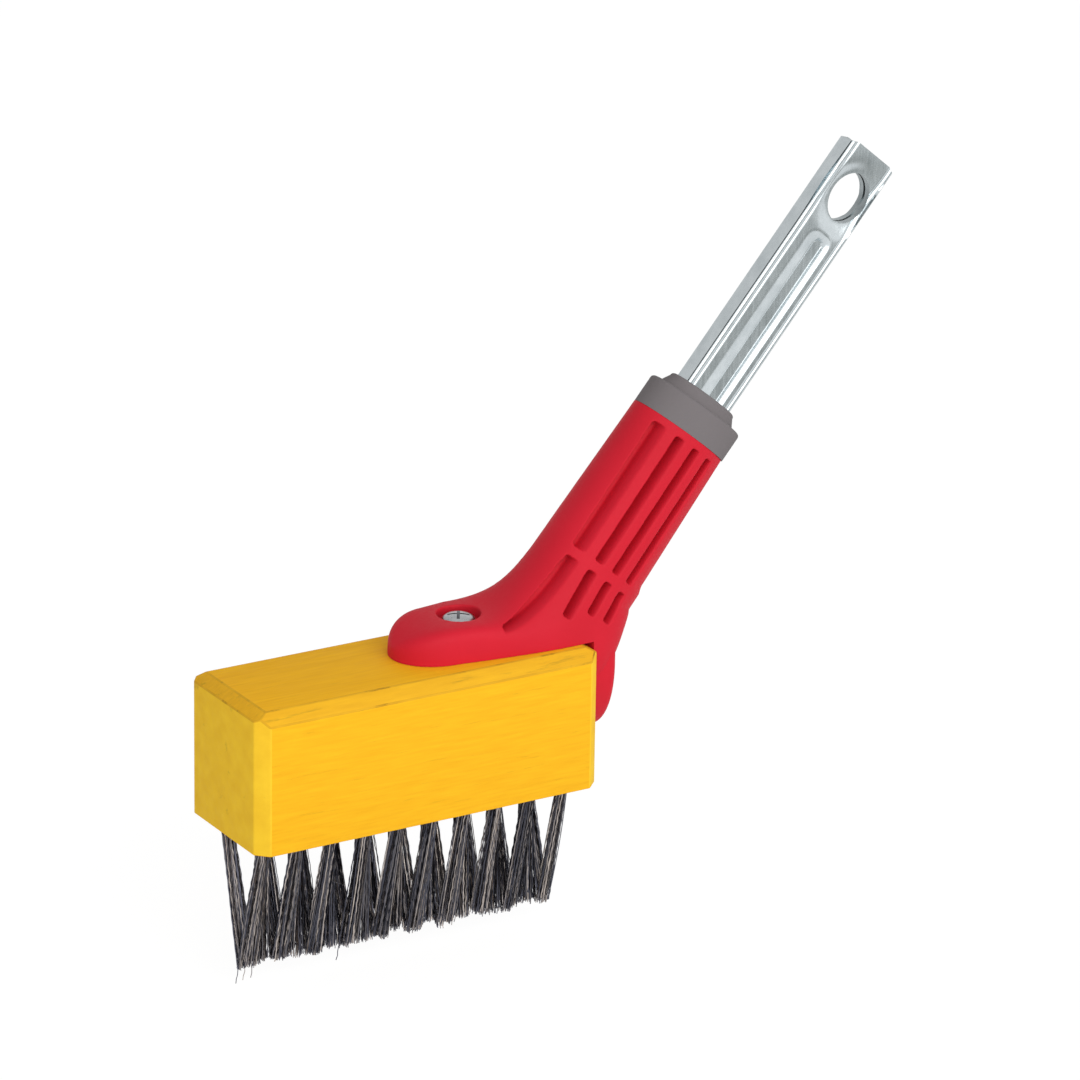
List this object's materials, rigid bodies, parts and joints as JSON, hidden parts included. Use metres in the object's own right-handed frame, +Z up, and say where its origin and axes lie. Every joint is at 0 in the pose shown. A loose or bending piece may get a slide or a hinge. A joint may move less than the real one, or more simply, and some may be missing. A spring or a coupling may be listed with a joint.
{
  "type": "weed brush",
  "caption": "Weed brush head: a wooden block set with rows of wire tufts, held by a moulded bracket with an angled shank, a collar and a flat steel tongue for a long handle.",
  "frame": {"origin": "middle of the part's footprint, on the plane of the bristle tips", "axes": "+X along the block towards the handle, +Y across the block, +Z up from the bristle tips"},
  "size_m": [0.2318, 0.045, 0.2297],
  "materials": {
    "wood": "thin yellow paint",
    "wire": "dark steel wire",
    "anchor": "bare",
    "red_plastic": "satin",
    "grey_plastic": "matte",
    "zinc": "zinc plated"
  },
  "bodies": {
    "root": {"brush_block": "wood", "bristle_row_front": "wire", "bristle_row_middle": "wire", "bristle_row_rear": "wire", "tuft_anchor_front_01": "anchor", "tuft_anchor_front_02": "anchor", "tuft_anchor_front_03": "anchor", "tuft_anchor_front_04": "anchor", "tuft_anchor_front_05": "anchor", "tuft_anchor_front_06": "anchor", "tuft_anchor_front_07": "anchor", "tuft_anchor_front_08": "anchor", "tuft_anchor_front_09": "anchor", "tuft_anchor_front_10": "anchor", "tuft_anchor_middle_01": "anchor", "tuft_anchor_middle_02": "anchor", "tuft_anchor_middle_03": "anchor", "tuft_anchor_middle_04": "anchor", "tuft_anchor_middle_05": "anchor", "tuft_anchor_middle_06": "anchor", "tuft_anchor_middle_07": "anchor", "tuft_anchor_middle_08": "anchor", "tuft_anchor_middle_09": "anchor", "tuft_anchor_rear_01": "anchor", "tuft_anchor_rear_02": "anchor", "tuft_anchor_rear_03": "anchor", "tuft_anchor_rear_04": "anchor", "tuft_anchor_rear_05": "anchor", "tuft_anchor_rear_06": "anchor", "tuft_anchor_rear_07": "anchor", "tuft_anchor_rear_08": "anchor", "tuft_anchor_rear_09": "anchor", "tuft_anchor_rear_10": "anchor", "bracket": "red_plastic", "top_screw": "zinc", "tail_screw": "zinc", "collar": "grey_plastic", "tongue": "zinc"}
  },
  "joints": []
}
